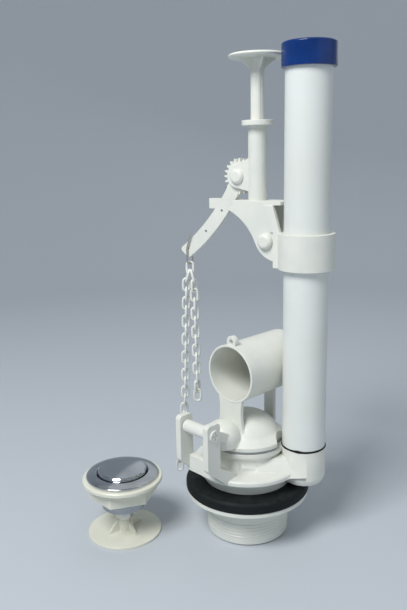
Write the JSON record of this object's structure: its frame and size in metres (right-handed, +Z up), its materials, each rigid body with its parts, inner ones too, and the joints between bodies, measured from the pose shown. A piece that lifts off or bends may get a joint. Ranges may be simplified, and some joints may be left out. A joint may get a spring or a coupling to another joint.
{
  "type": "cistern flush valve with push rod actuator and lid button",
  "caption": "Upright flush valve: threaded outlet tail, flapper with float cup, overflow tube with a rim cap, clamped rack-and-lever push rod, chain, and a separate lid button on its foot.",
  "frame": {"origin": "centre of the outlet tail's lower end, on the floor the set stands on", "axes": "+Z up along the outlet; +X to the overflow tube's side; +Y away from the viewer of the picture"},
  "size_m": [0.1799, 0.1038, 0.3409],
  "materials": {
    "white_plastic": "moulded, satin gloss",
    "chain_plastic": "moulded, satin gloss",
    "blue_plastic": "moulded gloss",
    "black_rubber": "matt rubber",
    "grey_rubber": "matt rubber",
    "steel_wire": "drawn wire",
    "brushed_metal": "turned metal",
    "chrome": "polished chrome plate"
  },
  "bodies": {
    "valve": {"base": "white_plastic", "slip_washer": "white_plastic", "seal_washer": "black_rubber", "joint_ring": "black_rubber", "overflow_tube": "white_plastic", "tube_cap": "blue_plastic", "hinge_pin": "white_plastic", "button_foot": "white_plastic", "button_stem": "chrome", "button_face": "chrome", "button_spring": "steel_wire"},
    "bracket": {"bracket": "white_plastic", "clamp_screw": "white_plastic", "clamp_nut": "white_plastic", "pivot_pin": "white_plastic"},
    "plunger": {"push_rod": "white_plastic"},
    "lever": {"lever": "white_plastic"},
    "chain": {"wire_clip": "steel_wire", "chain_long": "chain_plastic", "chain_short": "chain_plastic"},
    "flapper": {"flapper": "white_plastic", "float_cup": "white_plastic", "flapper_seal": "grey_rubber"},
    "button_housing": {"button_barrel": "brushed_metal", "button_nut": "white_plastic", "button_gasket": "white_plastic", "escutcheon": "chrome"}
  },
  "joints": [
    {"name": "bracket_height", "type": "slide", "parent": "valve", "child": "bracket", "axis": [0, 0, 1], "range_m": [-0.008, 0.02]},
    {"name": "plunger_slide", "type": "slide", "parent": "bracket", "child": "plunger", "axis": [0, 0, -1], "range_m": [0, 0.014]},
    {"name": "lever_turn", "type": "hinge", "parent": "bracket", "child": "lever", "pos_m": [-0.00228, 0.01625, 0.2584], "axis": [0.5736, 0.8192, 0], "range_deg": [0, 72.1]},
    {"name": "chain_hang", "type": "hinge", "parent": "lever", "child": "chain", "pos_m": [-0.03945, 0.04229, 0.20563], "axis": [0.5736, 0.8192, 0], "range_deg": [-72.1, 0]},
    {"name": "flapper_hinge", "type": "hinge", "parent": "valve", "child": "flapper", "pos_m": [-0.03561, -0.03439, 0.0925], "axis": [0.6947, -0.7193, 0], "range_deg": [0, 60]},
    {"name": "button_press", "type": "slide", "parent": "valve", "child": "button_housing", "axis": [0, 0, 1], "range_m": [0, 0.006], "stiffness_N_per_m": 300, "springref_m": -0.006, "deforming": ["button_spring"]}
  ],
  "couplings": [
    {"joint": "lever_turn", "follows": "plunger_slide", "rad_per_m": 88.652},
    {"joint": "chain_hang", "follows": "plunger_slide", "rad_per_m": -88.652}
  ]
}
